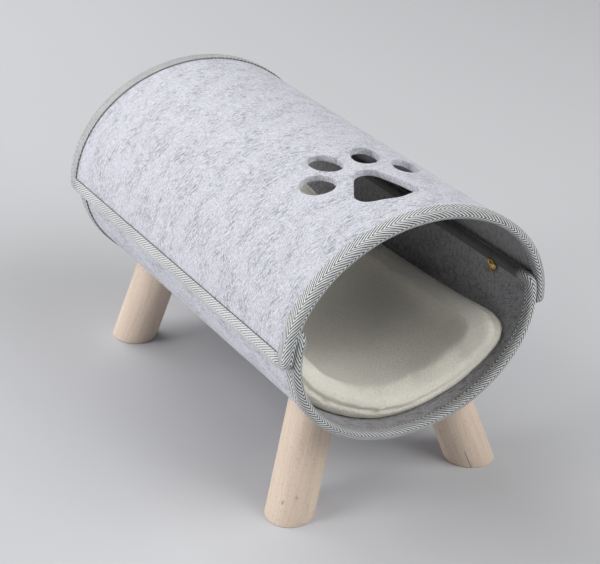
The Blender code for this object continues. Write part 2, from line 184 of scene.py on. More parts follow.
# The floor and the lights
FLOOR_HALF = 12.0
FLOOR_COLOUR = (0.565, 0.57, 0.59)
LIGHT_COLUMNS = ("name", "place", "aim", "size", "power", "colour")
LIGHTS = (
    ("front", (1.5, -2.0, 2.4), (0.0, 0.0, 0.2), 2.6, 80.0, (1.0, 1.0, 0.99)),
    ("low_front", (0.6, -2.8, 0.9), (0.0, -0.1, 0.15), 1.6, 8.0, (1.0, 0.95, 0.88)),
    ("left", (-2.2, 0.6, 2.4), (0.0, 0.0, 0.15), 1.5, 32.0, (1.0, 0.99, 0.98)),
    ("low_left", (-4.6, 0.5, 0.8), (0.0, 0.0, 0.15), 1.65, 104.0, (1.0, 0.99, 0.98)),
    ("behind", (-1.5, 2.2, 2.2), (0.0, 0.0, 0.15), 1.5, 20.0, (1.0, 1.0, 1.0)),
    ("far", (-0.2, 2.9, 2.9), (0.1, 1.4, 0.0), 2.2, 70.0, (1.0, 1.0, 1.0)),
)
SKY_COLOUR = (0.93, 0.95, 1.0)
SKY_STRENGTH = 0.05

# The camera
SENSOR_WIDTH = 36.0
IMAGE_WIDTH = 600
FOCAL_PIXELS = 1527.46
CAMERA_PLACE = (-0.78049, -1.25021, 0.91815)
CAMERA_YAW = -32.365
CAMERA_DOWN = 27.794
CAMERA_ROLL = 3.08


# Shapes shared by the cloth pieces

class Section:
    """An elliptical section, walked by length from the middle of its crown (way 1) or its floor (way -1)."""

    def __init__(self, half_width, half_height, way):
        self.half_width = half_width
        self.half_height = half_height
        self.way = way
        self.angles = np.linspace(-pi, pi, SECTION_STEPS)
        steps = np.hypot(half_width * np.cos(self.angles), half_height * np.sin(self.angles))
        lengths = np.concatenate(([0.0], np.cumsum((steps[1:] + steps[:-1]) / 2 * np.diff(self.angles))))
        self.lengths = lengths - lengths[-1] / 2

    def quarter(self):
        return float(np.interp(pi / 2, self.angles, self.lengths))

    def place(self, flat):
        """Where a point of the flat piece goes in the finished tunnel."""
        angle = float(np.interp(flat.x, self.lengths, self.angles))
        x = self.half_width * sin(angle)
        z = self.half_height * cos(angle)
        normal = Vector((x / self.half_width ** 2, 0.0, self.way * z / self.half_height ** 2)).normalized()
        level = Vector((x, flat.y, AXIS_HEIGHT + self.way * z)) + normal * flat.z
        return settle(level)


def settle(point):
    """A point of the level, even tunnel in the flared, leaning and pitched one."""
    along = point.y / TUNNEL_LENGTH
    swell = 1 + 2 * FLARE * along
    up = (point.z - AXIS_HEIGHT) * swell
    x, y = point.x * swell, point.y - FRONT_LEAN * (0.5 - along) * up
    turn = radians(PITCH_DEGREES)
    return Vector((x, y * cos(turn) + up * sin(turn), AXIS_HEIGHT + up * cos(turn) - y * sin(turn)))


ROOF_CURVE = Section(ROOF_HALF_WIDTH, ROOF_RISE, 1)
CRADLE_CURVE = Section(CRADLE_HALF_WIDTH, CRADLE_DEPTH, -1)
ROOF_HALF = ROOF_CURVE.quarter() + ROOF_LAP
CRADLE_HALF = CRADLE_CURVE.quarter() + CRADLE_LAP


def lay(bm, curve):
    """Rolls a flat piece round a section; rolled downwards it is mirrored, so its faces are turned back."""
    for vert in bm.verts:
        vert.co = curve.place(vert.co)
    if curve.way < 0:
        bmesh.ops.reverse_faces(bm, faces=bm.faces)


def write_uv(bm, rule):
    """Gives each face corner its place in the flat cloth, in metres."""
    layer = bm.loops.layers.uv.new("cloth")
    for face in bm.faces:
        for loop in face.loops:
            loop[layer].uv = rule(loop.vert.co, face)


def dress(bm, name, material, nodes=(), sharp_degrees=40.0):
    """Turns a bmesh into a finished piece on the root body."""
    mesh = bpy.data.meshes.new(name)
    bm.to_mesh(mesh)
    bm.free()
    mesh.shade_smooth()
    mesh.set_sharp_from_angle(angle=radians(sharp_degrees))
    piece = bpy.data.objects.new(name, mesh)
    mesh.materials.append(material)
    bpy.context.scene.collection.objects.link(piece)
    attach(piece, "root")
    if nodes:
        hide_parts(*nodes)
    return piece


# Finishes

def add_node(tree, kind, settings, sockets):
    """A shader node: its settings first, then the values or links of its sockets."""
    made = tree.nodes.new("ShaderNode" + kind)
    for key, value in settings.items():
        setattr(made, key, value)
    for key, value in sockets.items():
        if isinstance(value, Value):
            tree.links.new(value.socket, made.inputs[key])
        else:
            made.inputs[key].default_value = value
    return made


class Value:
    """A number that varies over a surface; arithmetic on it adds Math nodes."""

    def __init__(self, tree, socket):
        self.tree = tree
        self.socket = socket

    def math(self, operation, *items):
        made = add_node(self.tree, "Math", {"operation": operation}, dict(enumerate(items)))
        return Value(self.tree, made.outputs[0])

    def __add__(self, other):
        return self.math("ADD", self, other)

    __radd__ = __add__

    def __sub__(self, other):
        return self.math("SUBTRACT", self, other)

    def __rsub__(self, other):
        return self.math("SUBTRACT", other, self)

    def __mul__(self, other):
        return self.math("MULTIPLY", self, other)

    __rmul__ = __mul__

    def least(self, other):
        return self.math("MINIMUM", self, other)

    def most(self, other):
        return self.math("MAXIMUM", self, other)

    def ramp(self, low, high):
        """0 below low, 1 above high, smooth between."""
        made = add_node(self.tree, "MapRange", {"interpolation_type": "SMOOTHSTEP"},
                        {"From Min": low, "From Max": high, "Value": self})
        return Value(self.tree, made.outputs["Result"])


class Finish:
    """A Principled material under construction."""

    def __init__(self, name, **fixed):
        self.material = bpy.data.materials.new(name)
        self.material.use_nodes = True
        self.tree = self.material.node_tree
        self.shader = self.tree.nodes["Principled BSDF"]
        for socket, value in fixed.items():
            self.shader.inputs[socket.replace("_", " ")].default_value = value

    def node(self, kind, settings, sockets, output=0):
        made = add_node(self.tree, kind, settings, sockets)
        return Value(self.tree, made.outputs[output])

    def cloth_place(self):
        return self.node("UVMap", {"uv_map": "cloth"}, {})

    def stretch(self, place, scale, turn=0.0, shift=(0.0, 0.0, 0.0)):
        """A place in pattern units: moved, turned, then scaled."""
        turned = self.node("Mapping", {}, {"Vector": place, "Location": shift,
                                           "Rotation": (0.0, 0.0, radians(turn))})
        return self.node("Mapping", {}, {"Vector": turned, "Scale": scale})

    def noise(self, place, scale=1.0, detail=2.0, roughness=0.5, distortion=0.0):
        return self.node("TexNoise", {}, {"Vector": place, "Scale": scale, "Detail": detail,
                                          "Roughness": roughness, "Distortion": distortion})

    def mix(self, factor, first, second):
        return self.node("Mix", {"data_type": "RGBA"}, {0: factor, 6: first, 7: second}, 2)

    def split(self, place):
        made = add_node(self.tree, "SeparateXYZ", {}, {0: place})
        return [Value(self.tree, made.outputs[axis]) for axis in range(3)]

    def bump(self, height, distance, strength=1.0):
        normal = self.node("Bump", {}, {"Height": height, "Distance": distance, "Strength": strength})
        self.tree.links.new(normal.socket, self.shader.inputs["Normal"])

    def feed(self, **sockets):
        for socket, value in sockets.items():
            self.tree.links.new(value.socket, self.shader.inputs[socket.replace("_", " ")])


def felt_finish(name, lean):
    """Needled felt in light heather grey: fine fibres that run one way, darker flecks and cloudy tone; its
    inner face darkened by painted shade.
    """
    felt = Finish(name, Roughness=0.95, Specular_IOR_Level=0.15, Sheen_Weight=0.15, Sheen_Roughness=0.6)
    place = felt.cloth_place()
    drift = felt.noise(felt.stretch(place, (34.0, 34.0, 1.0)), detail=1.0)
    bent = felt.node("VectorMath", {"operation": "MULTIPLY_ADD"}, {
        0: felt.node("CombineXYZ", {}, {"X": drift, "Y": drift}), 1: (0.012, -0.012, 0.0), 2: place})
    fibres = felt.noise(felt.stretch(bent, (180.0, 760.0, 1.0), lean), detail=3.0, roughness=0.65,
                        distortion=0.3)
    flecks = felt.noise(felt.stretch(bent, (85.0, 360.0, 1.0), lean + 12.0, (0.31, 0.17, 0.0)), detail=4.0,
                        roughness=0.7, distortion=0.4)
    clouds = felt.noise(felt.stretch(bent, (26.0, 60.0, 1.0), lean - 12.0, (0.07, 0.41, 0.0)), detail=2.0)
    grain = felt.noise(felt.stretch(place, (520.0, 1150.0, 1.0), lean, (0.9, 0.2, 0.0)), detail=2.0)
    dark = fibres.ramp(0.43, 0.70) * (0.42 + clouds.ramp(0.38, 0.64) * 0.30)
    dark = dark + flecks.ramp(0.42, 0.74) * (0.10 + clouds.ramp(0.38, 0.64) * 0.62)
    dark = dark + grain.ramp(0.40, 0.70) * 0.62 - 0.12
    light = fibres.ramp(0.50, 0.34) * 0.55
    # Painted shade: the felt's inner face (v past 0.5) is darkened towards the colour of shade inside the
    # tunnel
    inside = felt.split(place)[1].ramp(0.49, 0.51)
    colour = felt.mix(dark.least(1.0).most(0.0), (0.640, 0.650, 0.715, 1.0), (0.230, 0.235, 0.275, 1.0))
    colour = felt.mix(light, colour, (0.760, 0.770, 0.840, 1.0))
    colour = felt.mix(inside * 0.55, colour, (0.195, 0.175, 0.165, 1.0))
    # Painted shade on the inner face, deeper in streaks that are partly the felt's own mottling and partly
    # painted shade
    streaks = felt.noise(felt.stretch(place, (110.0, 330.0, 1.0), 4.0, (0.6, 0.3, 0.0)), detail=3.0,
                         roughness=0.65)
    colour = felt.mix(inside * streaks.ramp(0.44, 0.70) * 0.55, colour, (0.070, 0.064, 0.064, 1.0))
    felt.feed(Base_Color=colour)
    felt.bump(fibres * 0.7 + flecks * 0.3, 0.0012, 0.8)
    return felt.material


def twill_finish():
    """Herringbone twill tape: ribs that slant one way in each band and the other way in the next, with
    painted shade in the grooves, along the border and on the inner face of the long edges.
    """
    twill = Finish("grey_twill", Roughness=0.85, Specular_IOR_Level=0.2)
    place = twill.cloth_place()
    across, along, _ = twill.split(place)
    wander = twill.noise(twill.stretch(place, (160.0, 90.0, 1.0)), detail=1.0)
    slant = (across * (1 / TWILL_BAND)).math("PINGPONG", across * (1 / TWILL_BAND), 1.0)
    phase = along * (1 / TWILL_PITCH) + slant * TWILL_RIBS + wander * 0.35
    rib = phase.math("PINGPONG", phase, 0.5) * 2.0
    # Painted shade in the grooves between the ribs
    groove = rib.ramp(0.54, 0.30)
    yarn = phase.math("PINGPONG", across * (1 / YARN_ACROSS) + along * (1 / YARN_ALONG), 0.5) * 2.0
    yarn_dip = yarn.ramp(0.45, 0.10)
    fuzz = twill.noise(twill.stretch(place, (900.0, 900.0, 1.0)), detail=2.0)
    tone = twill.noise(twill.stretch(place, (60.0, 14.0, 1.0), 0.0, (0.2, 0.6, 0.0)), detail=1.0)
    thread = twill.mix(fuzz, (0.70, 0.718, 0.730, 1.0), (0.93, 0.945, 0.955, 1.0))
    thread = twill.mix(tone.ramp(0.3, 0.8) * 0.20, thread, (0.40, 0.41, 0.41, 1.0))
    # Painted shade in the dips between yarns
    thread = twill.mix(yarn_dip * 0.30, thread, (0.20, 0.21, 0.21, 1.0))
    # Painted shade: a dark line along the tape's border, where its edge meets the felt
    border = across.ramp(*PAINTED_SHADE_BORDER)
    _, lengthwise, _ = twill.split(twill.node("TexCoord", {}, {}, 3))
    side = lengthwise.math("ABSOLUTE", lengthwise).ramp(*LONG_EDGE_ENDS)
    # The grooves' painted shade, stronger or weaker by noise and fainter on the long edges
    groove_shade_wander = twill.noise(twill.stretch(place, (300.0, 120.0, 1.0), 0.0, (0.5, 0.1, 0.0)), detail=2.0)
    dark = (groove * (0.78 + groove_shade_wander.ramp(0.35, 0.65) * 0.22) * (1.0 - side * 0.40)).most(border * 0.8)
    colour = twill.mix(dark, thread, (0.020, 0.023, 0.023, 1.0))
    # Painted shade: the tape's inner face along the long edges is darkened
    inner = across.ramp(*INNER_FACE_START) * side
    twill.feed(Base_Color=twill.mix(inner * 0.80, colour, (0.060, 0.060, 0.050, 1.0)))
    twill.bump(rib.ramp(0.1, 0.7) - yarn_dip * 0.25 + fuzz * 0.2, 0.0006, 0.9)
    return twill.material


def fleece_finish():
    """Short off-white plush with a fine nap and a little lint."""
    fleece = Finish("offwhite_fleece", Roughness=0.95, Specular_IOR_Level=0.1, Sheen_Weight=0.25,
                    Sheen_Roughness=0.5)
    place = fleece.node("TexCoord", {}, {}, 3)
    nap = fleece.noise(place, 1500.0, 3.0, 0.6)
    tufts = fleece.noise(place, 420.0, 3.0, 0.6, 0.3)
    tone = fleece.noise(place, 22.0, 2.0)
    colour = fleece.mix(nap.ramp(0.3, 0.75), (0.86, 0.838, 0.738, 1.0), (0.985, 0.965, 0.855, 1.0))
    colour = fleece.mix(tone.ramp(0.4, 0.7) * 0.20, colour, (0.76, 0.74, 0.67, 1.0))
    colour = fleece.mix(tufts.ramp(0.42, 0.70) * 0.20, colour, (0.54, 0.51, 0.45, 1.0))
    fleece.feed(Base_Color=colour)
    fleece.bump(nap * 0.4 + tufts * 0.6, 0.0018, 0.9)
    return fleece.material


def wood_finish():
    """Pale unvarnished wood with lengthwise grain, a few small knots and one fine crack."""
    wood = Finish("pale_wood", Roughness=0.55, Specular_IOR_Level=0.35)
    place = wood.cloth_place()
    wave = wood.noise(wood.stretch(place, (60.0, 14.0, 1.0)), detail=1.0)
    bent = wood.node("VectorMath", {"operation": "MULTIPLY_ADD"}, {
        0: wood.node("CombineXYZ", {}, {"X": wave}), 1: (0.006, 0.0, 0.0), 2: place})
    grain = wood.noise(wood.stretch(bent, (420.0, 16.0, 1.0)), detail=4.0, roughness=0.6)
    streaks = wood.noise(wood.stretch(bent, (95.0, 7.0, 1.0), 0.0, (0.4, 0.2, 0.0)), detail=2.0)
    pores = wood.noise(wood.stretch(bent, (1500.0, 110.0, 1.0)), detail=1.0)
    colour = wood.mix(grain.ramp(0.40, 0.72), (0.715, 0.592, 0.492, 1.0), (0.640, 0.515, 0.415, 1.0))
    colour = wood.mix(streaks.ramp(0.45, 0.75) * 0.17, colour, (0.530, 0.405, 0.310, 1.0))
    colour = wood.mix(pores.ramp(0.60, 0.74) * 0.26, colour, (0.420, 0.300, 0.220, 1.0))
    for knot in KNOTS:
        mark = dict(zip(KNOT_COLUMNS, knot))
        radius = mark["radius"]
        middle = (mark["leg"] + mark["around"], mark["up"], 0.0)
        offset = wood.node("VectorMath", {"operation": "SUBTRACT"}, {0: bent, 1: middle})
        squeezed = wood.node("VectorMath", {"operation": "MULTIPLY"}, {0: offset, 1: (1.0, 0.62, 0.0)})
        far = wood.node("VectorMath", {"operation": "LENGTH"}, {0: squeezed}, 1)
        ring = far + (wave - 0.5) * (radius * 0.8)
        colour = wood.mix(ring.ramp(radius, radius * 0.15) * 0.50, colour, (0.20, 0.135, 0.09, 1.0))
    specks = wood.noise(wood.stretch(place, (640.0, 420.0, 1.0), 0.0, (0.7, 0.5, 0.0)), detail=2.0)
    colour = wood.mix(specks.ramp(0.60, 0.70) * 0.50, colour, (0.36, 0.25, 0.18, 1.0))
    around, up, _ = wood.split(bent)
    off_crack = around - (CRACK_LEG + CRACK_AROUND)
    crack = off_crack.math("ABSOLUTE", off_crack).ramp(0.0008, 0.0002) * up.ramp(CRACK_TOP, CRACK_TOP - 0.005)
    colour = wood.mix(crack * 0.65, colour, (0.13, 0.08, 0.05, 1.0))
    wood.feed(Base_Color=colour)
    wood.bump(grain * 0.6 + pores * 0.4, 0.0004, 0.5)
    return wood.material


def brass_finish():
    """Polished brass with faint dents and tarnish."""
    brass = Finish("snap_brass", Metallic=1.0)
    place = brass.node("TexCoord", {}, {}, 3)
    dents = brass.noise(place, 420.0, 2.0)
    tarnish = brass.noise(place, 900.0, 3.0)
    colour = brass.mix(tarnish.ramp(0.35, 0.75), (0.92, 0.70, 0.32, 1.0), (0.50, 0.27, 0.08, 1.0))
    brass.feed(Base_Color=colour, Roughness=tarnish * 0.25 + 0.12)
    brass.bump(dents, 0.0004, 0.25)
    return brass.material


def plain_finish(name, colour):
    """The floor's matt paint."""
    plain = Finish(name, Roughness=0.9, Specular_IOR_Level=0.1)
    place = plain.node("TexCoord", {}, {}, 3)
    tone = plain.noise(place, 1.2, 1.0)
    plain.feed(Base_Color=plain.mix(tone, (*[part * 0.985 for part in colour], 1.0), (*colour, 1.0)))
    return plain.material


# Felt panels

def round_corner(point, half_across, half_along, corner):
    """Moves a point of a square-cornered piece so that its corners are round."""
    over_x = max(abs(point.x) - (half_across - corner), 0.0) / corner
    over_y = max(abs(point.y) - (half_along - corner), 0.0) / corner
    inwards_x = over_x * (1 - sqrt(1 - over_y ** 2 / 2)) * corner
    inwards_y = over_y * (1 - sqrt(1 - over_x ** 2 / 2)) * corner
    point.x -= inwards_x if point.x > 0 else -inwards_x
    point.y -= inwards_y if point.y > 0 else -inwards_y


def disc_cutter(radius, across, along):
    """A round cutter, long enough to go right through the felt."""
    bm = bmesh.new()
    place = Matrix.Translation((across, along, -FELT / 2))
    bmesh.ops.create_cone(bm, cap_ends=True, segments=CUT_SIDES, radius1=radius, radius2=radius,
                          depth=3 * FELT, matrix=place)
    return bm


def toe_cutter(across, along, width, length, lean_degrees):
    """An oval cutter for one toe."""
    bm = disc_cutter(0.5, 0.0, 0.0)
    bmesh.ops.scale(bm, verts=bm.verts, vec=(width, length, 1.0))
    turn = Matrix.Rotation(-radians(lean_degrees), 3, "Z")
    bmesh.ops.rotate(bm, verts=bm.verts, cent=(0, 0, 0), matrix=turn)
    bmesh.ops.translate(bm, verts=bm.verts, vec=(across, along, 0.0))
    return bm


def palm_cutter():
    """The main pad: the hull of a few discs."""
    bm = bmesh.new()
    for corner in PALM_CORNERS:
        sizes = dict(zip(PALM_COLUMNS, corner))
        disc = bpy.data.meshes.new("disc")
        disc_bm = disc_cutter(sizes["radius"], sizes["across"], sizes["along"])
        disc_bm.to_mesh(disc)
        disc_bm.free()
        bm.from_mesh(disc)
        bpy.data.meshes.remove(disc)
    hull = bmesh.ops.convex_hull(bm, input=bm.verts, use_existing_faces=False)
    left_over = hull["geom_interior"] + hull["geom_unused"]
    unused = {item for item in left_over if isinstance(item, bmesh.types.BMVert)}
    bmesh.ops.delete(bm, geom=list(unused), context="VERTS")
    outside = {item for item in hull["geom"] if isinstance(item, bmesh.types.BMFace)}
    bmesh.ops.delete(bm, geom=[face for face in bm.faces if face not in outside], context="FACES_ONLY")
    loose = [edge for edge in bm.edges if not edge.link_faces]
    bmesh.ops.delete(bm, geom=loose, context="EDGES")
    return bm


def scratch_object(bm, name):
    """A passing object that lets a modifier work on a bmesh."""
    bmesh.ops.recalc_face_normals(bm, faces=bm.faces)
    mesh = bpy.data.meshes.new(name)
    bm.to_mesh(mesh)
    bm.free()
    made = bpy.data.objects.new(name, mesh)
    bpy.context.scene.collection.objects.link(made)
    return made


def cut_flat(bm, cutters):
    """Cuts holes through flat felt."""
    sheet = scratch_object(bm, "flat_felt")
    scraps = [sheet]
    for number, cutter_bm in enumerate(cutters):
        cutter = scratch_object(cutter_bm, f"cutter_{number}")
        scraps.append(cutter)
        cut = sheet.modifiers.new(f"cut_{number}", "BOOLEAN")
        cut.operation = "DIFFERENCE"
        cut.solver = "EXACT"
        cut.object = cutter
    cut_bm = bmesh.new()
    cut_bm.from_object(sheet, bpy.context.evaluated_depsgraph_get())
    for scrap in scraps:
        bpy.data.objects.remove(scrap)
    return cut_bm


def felt_panel(name, node, curve, half_across, cutters, material, flip):
    """A rolled felt panel: one slab cut flat, its cut edges rounded, scored in small cells and rolled."""
    bm = bmesh.new()
    bmesh.ops.create_cube(bm, size=1.0, matrix=Matrix.Translation((0.0, 0.0, -0.5)))
    bmesh.ops.scale(bm, verts=bm.verts, vec=(2 * half_across, 2 * FELT_HALF_LENGTH, FELT))
    corners = [edge for edge in bm.edges if abs(edge.verts[0].co.z - edge.verts[1].co.z) > FELT / 2]
    bmesh.ops.bevel(bm, geom=corners, offset=PANEL_CORNER, segments=8, profile=0.5, affect="EDGES",
                    material=-1)
    bm = cut_flat(bm, cutters)
    inside = half_across - TAPE_OUTSIDE, FELT_HALF_LENGTH - TAPE_OUTSIDE
    rims = []
    for edge in bm.edges:
        middle = (edge.verts[0].co + edge.verts[1].co) / 2
        level = abs(edge.verts[0].co.z - edge.verts[1].co.z) < 1e-6
        steep = len(edge.link_faces) == 2 and abs(edge.calc_face_angle(0.0)) > 1.0
        if level and steep and abs(middle.x) < inside[0] and abs(middle.y) < inside[1]:
            rims.append(edge)
    if rims:
        bmesh.ops.bevel(bm, geom=rims, offset=CUT_ROUND, segments=2, profile=0.5, affect="EDGES", material=-1,
                        clamp_overlap=True)
    scores = ((half_across, FELT_CELL_ACROSS, (1, 0, 0)), (FELT_HALF_LENGTH, FELT_CELL_ALONG, (0, 1, 0)))
    for half, cell, way in scores:
        count = ceil(2 * half / cell)
        for step in range(1, count):
            spot = -half + 2 * half * step / count
            everything = bm.verts[:] + bm.edges[:] + bm.faces[:]
            bmesh.ops.bisect_plane(bm, geom=everything, plane_co=[part * spot for part in way], plane_no=way,
                                   dist=1e-6)
    side = 1.0 if flip else 0.0
    bm.normal_update()

    def flat_place(point, face):
        """The face's place in the cloth; a cut wall runs on from it by its depth."""
        if abs(face.normal.z) > 0.5:
            return point.x + side, point.y + (1.0 if face.normal.z < 0 else 0.0)
        return point.x + side + face.normal.x * point.z, point.y + face.normal.y * point.z

    write_uv(bm, flat_place)
    bmesh.ops.triangulate(bm, faces=[face for face in bm.faces if len(face.verts) > 4])
    lay(bm, curve)
    return dress(bm, name, material, [node])


# Bindings

def panel_outline(half_across):
    """A panel's outline, counter-clockwise: each point, the way outwards and, in a corner, its two sides."""
    x_in = half_across - PANEL_CORNER
    y_in = FELT_HALF_LENGTH - PANEL_CORNER
    outline = []

    def corner(side_x, side_y, start):
        middle = Vector((side_x * x_in, side_y * y_in))
        for step in range(CORNER_STEPS + 1):
            turn = start + pi / 2 * step / CORNER_STEPS
            way = Vector((cos(turn), sin(turn)))
            outline.append((middle + way * PANEL_CORNER, way, (side_x, side_y)))

    def side(start, end, way):
        count = ceil((end - start).length / TAPE_STEP)
        outline.extend((start.lerp(end, step / count), way, None) for step in range(1, count))

    corner(-1, -1, pi)
    side(Vector((-x_in, -FELT_HALF_LENGTH)), Vector((x_in, -FELT_HALF_LENGTH)), Vector((0, -1)))
    corner(1, -1, -pi / 2)
    side(Vector((half_across, -y_in)), Vector((half_across, y_in)), Vector((1, 0)))
    corner(1, 1, 0.0)
    side(Vector((x_in, FELT_HALF_LENGTH)), Vector((-x_in, FELT_HALF_LENGTH)), Vector((0, 1)))
    corner(-1, 1, pi / 2)
    side(Vector((-half_across, y_in)), Vector((-half_across, -y_in)), Vector((-1, 0)))
    return outline


def tape_spot(half_across, place, out):
    """The flat spot so far outwards of an outline point; the tape's borders meet square in the corners."""
    point, way, corner = place
    if corner and out < -PANEL_CORNER:
        return Vector((corner[0] * (half_across + out), corner[1] * (FELT_HALF_LENGTH + out)))
    return point + way * out


def tape_profile():
    """The folded tape's cross-section from its outer border round the fold to its inner one: (out, up)."""
    top = GAP + TAPE
    bottom = -FELT - GAP - TAPE
    fold_out = GAP + TAPE - TAPE_FOLD
    border = [(0.0, TAPE_BORDER), (TAPE_BORDER_ROUND, TAPE_BORDER * 0.4), (TAPE_BORDER, 0.0)]
    outer = [(-TAPE_OUTSIDE + inwards, top - drop) for inwards, drop in border]
    reach = fold_out + TAPE_OUTSIDE
    outer += [(-TAPE_OUTSIDE + reach * part, top + TAPE_PUFF * sin(pi * part)) for part in (0.25, 0.5, 0.75)]
    fold = []
    for step in range(FOLD_STEPS + 1):
        turn = pi / 2 * step / FOLD_STEPS
        fold.append((fold_out + TAPE_FOLD * sin(turn), top - TAPE_FOLD + TAPE_FOLD * cos(turn)))
    under = [(out, top + bottom - up) for out, up in reversed(fold)]
    inner = [(-TAPE_INSIDE + inwards, bottom + rise) for inwards, rise in reversed(border)]
    lining = [(GAP, bottom + TAPE), (GAP, top - TAPE)]
    return outer + fold + under + inner, lining


def lengths_round(points):
    """How far each point of a closed line lies along it, and last the whole way round."""
    lengths = [0.0]
    for near, far in zip(points, points[1:] + points[:1]):
        lengths.append(lengths[-1] + (far - near).length)
    return lengths


def next_section(bm, edges, steps):
    """Extrudes a cross-section by one station: its new edges, and the profile step of each new point."""
    made = bmesh.ops.extrude_edge_only(bm, edges=edges)["geom"]
    fresh = {}
    for vert in (item for item in made if isinstance(item, bmesh.types.BMVert)):
        old = next(edge.other_vert(vert) for edge in vert.link_edges if edge.other_vert(vert) in steps)
        fresh[vert] = steps[old]
    edges = [item for item in made if isinstance(item, bmesh.types.BMEdge)
             and all(vert in fresh for vert in item.verts)]
    return edges, fresh


def binding(name, node, curve, half_across, material):
    """Twill tape folded over a panel's edge: its cross-section, extruded along the edge all round."""
    visible, lining = tape_profile()
    profile = visible + [(-TAPE_INSIDE, -FELT - GAP)] + lining + [(-TAPE_OUTSIDE, GAP)]
    widths = lengths_round([Vector(point) for point in profile])
    outline = panel_outline(half_across)
    walked = lengths_round([place[0] for place in outline])
    repeats = round(walked[-1] / TWILL_PITCH)
    walked = [length * repeats * TWILL_PITCH / walked[-1] for length in walked]
    last = len(profile) - 1
    bm = bmesh.new()
    layer = bm.loops.layers.uv.new("cloth")
    bmesh.ops.create_circle(bm, segments=len(profile), radius=1.0)
    edges, steps = bm.edges[:], {vert: step for step, vert in enumerate(bm.verts)}
    for station, place in enumerate(outline + outline[:1]):
        if station:
            before = steps
            edges, steps = next_section(bm, edges, before)
            both = {**before, **steps}
            for face in {face for edge in edges for face in edge.link_faces}:
                closes = {both[vert] for vert in face.verts} == {0, last}
                for loop in face.loops:
                    step = last + 1 if closes and both[loop.vert] == 0 else both[loop.vert]
                    loop[layer].uv = widths[step], walked[station if loop.vert in steps else station - 1]
        for vert, step in steps.items():
            out, up = profile[step]
            vert.co = (*tape_spot(half_across, place, out), up)
    lay(bm, curve)
    bmesh.ops.remove_doubles(bm, verts=bm.verts, dist=1e-5)
    bmesh.ops.recalc_face_normals(bm, faces=bm.faces)
    return dress(bm, name, material, [node], 65.0)


# Cushion

def middle_share(distance, half):
    """1 in the middle of a side, 0 at its ends."""
    return cos(pi / 2 * min(abs(distance) / half, 1.0))


def flat_cushion():
    """The filled pad in the flat: a grid given its thickness, drawn in at its sides, its middle sunk."""
    half_length = CUSHION_LENGTH / 2
    bm = bmesh.new()
    bmesh.ops.create_grid(bm, x_segments=CUSHION_CELLS_ACROSS, y_segments=CUSHION_CELLS_ALONG, size=1.0)
    bmesh.ops.scale(bm, verts=bm.verts, vec=(CUSHION_HALF_WIDTH, half_length, 1.0))
    made = bmesh.ops.extrude_face_region(bm, geom=bm.faces[:])
    lower = {item for item in made["geom"] if isinstance(item, bmesh.types.BMVert)}
    for vert in bm.verts:
        over_x = max(abs(vert.co.x) - (CUSHION_HALF_WIDTH - CUSHION_CORNER), 0.0)
        over_y = max(abs(vert.co.y) - (half_length - CUSHION_CORNER), 0.0)
        depth = CUSHION_CORNER - max(over_x, over_y)
        swell = sqrt(max(1 - (1 - min(depth / CUSHION_EDGE, 1.0)) ** 2, 0.0))
        height = CUSHION_RIM / 2 * (CUSHION_BORDER_SHARE + (1 - CUSHION_BORDER_SHARE) * swell)
        if vert not in lower:
            sunk = 1.0
            for reach in (CUSHION_HALF_WIDTH - abs(vert.co.x), half_length - abs(vert.co.y)):
                part = min(max(reach - CUSHION_EDGE / 2, 0.0) / CUSHION_HOLLOW_WIDTH, 1.0)
                sunk *= part ** 2 * (3 - 2 * part)
            height -= CUSHION_HOLLOW * sunk
        spot = vert.co.copy()
        round_corner(spot, CUSHION_HALF_WIDTH, half_length, CUSHION_CORNER)
        spot.x *= 1 - CUSHION_SIDES_IN / CUSHION_HALF_WIDTH * middle_share(spot.y, half_length)
        spot.y *= 1 - CUSHION_ENDS_IN / half_length * middle_share(spot.x, CUSHION_HALF_WIDTH)
        leftwards = min(max(-spot.x, 0.0) / CUSHION_SET_BACK_WIDTH, 1.0)
        forwards = max(-spot.y, 0.0) / half_length
        spot.y += CUSHION_SET_BACK * leftwards ** 2 * (3 - 2 * leftwards) * forwards ** 2
        vert.co = (spot.x, spot.y, -height if vert not in lower else height)
    bmesh.ops.recalc_face_normals(bm, faces=bm.faces)
    return bm


def applied(piece):
    """The piece's evaluated mesh as a bmesh."""
    bm = bmesh.new()
    bm.from_object(piece, bpy.context.evaluated_depsgraph_get())
    return bm


def swell_cushion(bm):
    """Fills the pad by a short cloth simulation in the flat; no point moves further than CUSHION_SWELL."""
    pad = scratch_object(bm, "flat_pad")
    remesh = pad.modifiers.new("even", "REMESH")
    remesh.mode = "VOXEL"
    remesh.voxel_size = FILL_CELL
    even_bm = applied(pad)
    bpy.data.objects.remove(pad)
    before = np.array([vert.co[:] for vert in even_bm.verts])
    pad = scratch_object(even_bm, "filled_pad")
    cloth = pad.modifiers.new("filling", "CLOTH")
    cloth.settings.quality = 5
    cloth.settings.use_pressure = True
    cloth.settings.uniform_pressure_force = FILL_PRESSURE
    cloth.settings.effector_weights.gravity = 0.0
    cloth.point_cache.frame_start = 1
    cloth.point_cache.frame_end = FILL_FRAMES
    for step in range(1, FILL_FRAMES + 1):
        bpy.context.scene.frame_set(step)
    swollen_bm = applied(pad)
    bpy.context.scene.frame_set(1)
    bpy.data.objects.remove(pad)
    for vert, start in zip(swollen_bm.verts, before):
        move = vert.co - Vector(start)
        if move.length > CUSHION_SWELL:
            vert.co = Vector(start) + move * (CUSHION_SWELL / move.length)
    after = np.array([vert.co[:] for vert in swollen_bm.verts])
    spread = np.ptp(before, axis=0) / np.ptp(after, axis=0)
    shift = (before.max(axis=0) + before.min(axis=0) - (after.max(axis=0) + after.min(axis=0)) * spread) / 2
    for vert in swollen_bm.verts:
        vert.co = (vert.co.x * spread[0] + shift[0], vert.co.y * spread[1] + shift[1], vert.co.z)
    return swollen_bm


